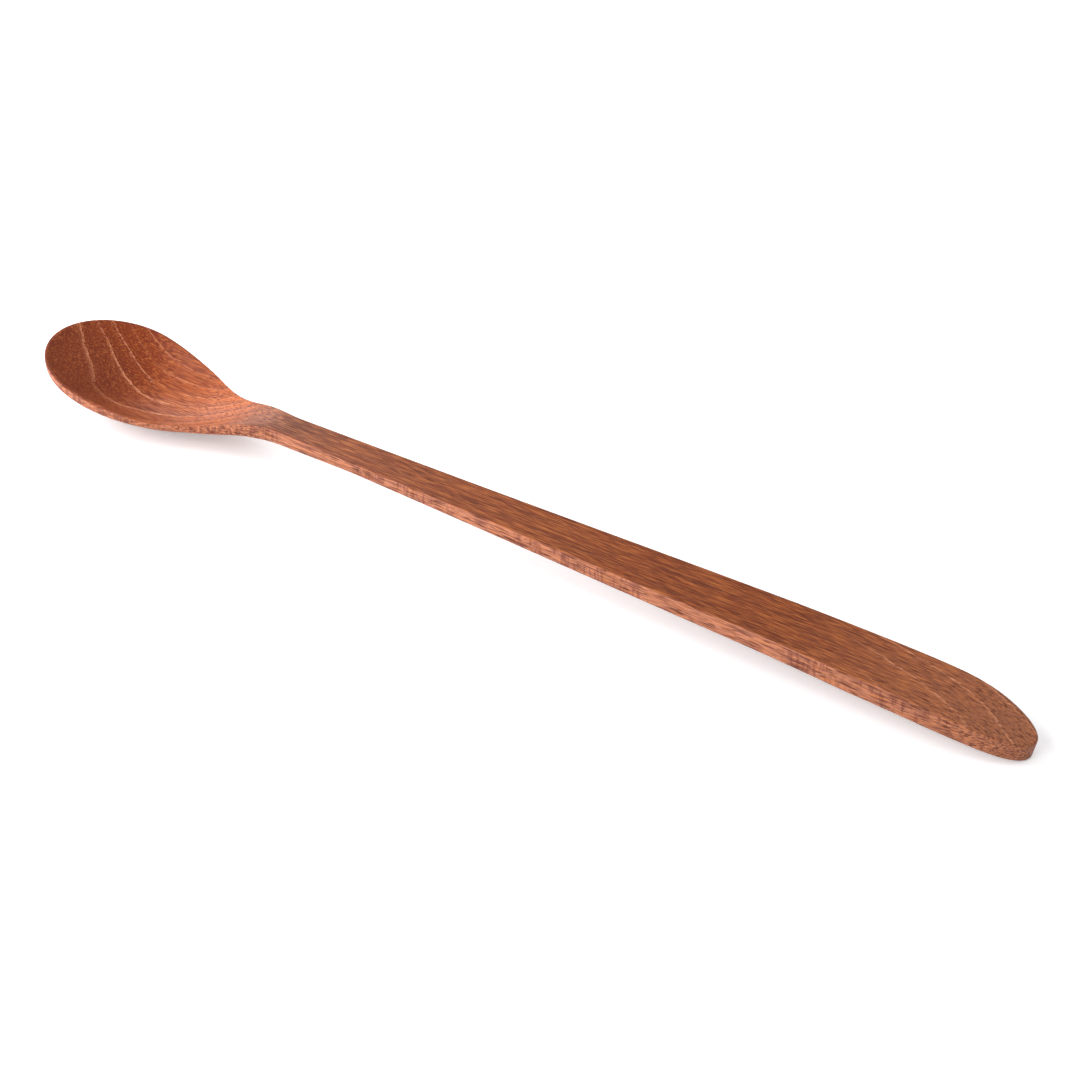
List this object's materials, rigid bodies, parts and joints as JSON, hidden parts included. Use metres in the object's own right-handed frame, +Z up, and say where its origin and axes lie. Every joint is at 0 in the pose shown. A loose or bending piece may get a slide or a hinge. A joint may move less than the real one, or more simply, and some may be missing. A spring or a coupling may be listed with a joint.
{
  "type": "wooden spoon",
  "caption": "Long-handled wooden spoon with a small, shallow oval bowl, a slim neck and a flat handle that widens towards a rounded, slightly drooping end.",
  "frame": {"origin": "on the table that the spoon lies on, under the middle of its bounding box", "axes": "+X along the spoon from the bowl to the handle's end, +Y across it, +Z up from the table"},
  "size_m": [0.2999, 0.0384, 0.0157],
  "materials": {
    "wood": "sanded and lightly oiled, satin"
  },
  "bodies": {
    "root": {"spoon": "wood"}
  },
  "joints": []
}
